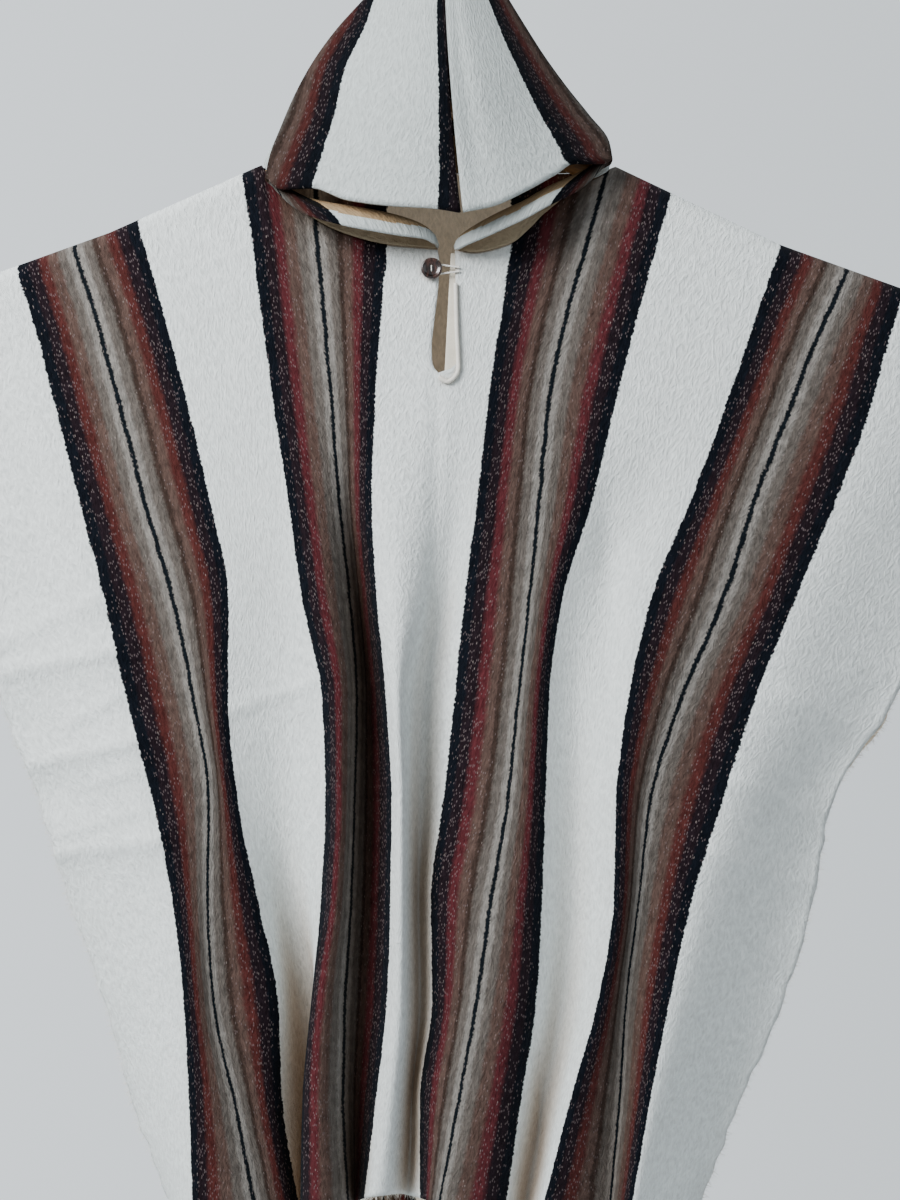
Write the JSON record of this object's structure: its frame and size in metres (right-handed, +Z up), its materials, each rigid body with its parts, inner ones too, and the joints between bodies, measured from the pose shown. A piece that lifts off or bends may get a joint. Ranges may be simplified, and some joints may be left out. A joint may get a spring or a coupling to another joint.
{
  "type": "hooded poncho on a clothes hanger",
  "caption": "Hooded wool poncho with dark warp stripes on cream, buttoned neck slit and raw edges, hanging on a clothes hanger.",
  "frame": {"origin": "inside of the top of the hanger's hook, where a rail carries it", "axes": "+Z up, +X to the viewer's right along the hanger, the poncho's front faces -Y"},
  "size_m": [1.0259, 0.1987, 1.3332],
  "materials": {
    "wool_cloth": "brushed twill wool, cream with dark warp stripes",
    "trim_cloth": "plain cream wool",
    "loop_cord": "twisted white cord and thread",
    "button_horn": "polished",
    "hanger_wood": "varnished",
    "hook_wire": "drawn wire"
  },
  "bodies": {
    "root": {"body_front": "wool_cloth", "body_back": "wool_cloth", "hood_left": "wool_cloth", "hood_right": "wool_cloth", "slit_facing": "trim_cloth", "slit_binding": "trim_cloth", "button": "button_horn", "button_thread": "loop_cord", "button_loop": "loop_cord", "hanger_arms": "hanger_wood", "hanger_hook": "hook_wire", "peak_collar": "hook_wire"}
  },
  "joints": []
}
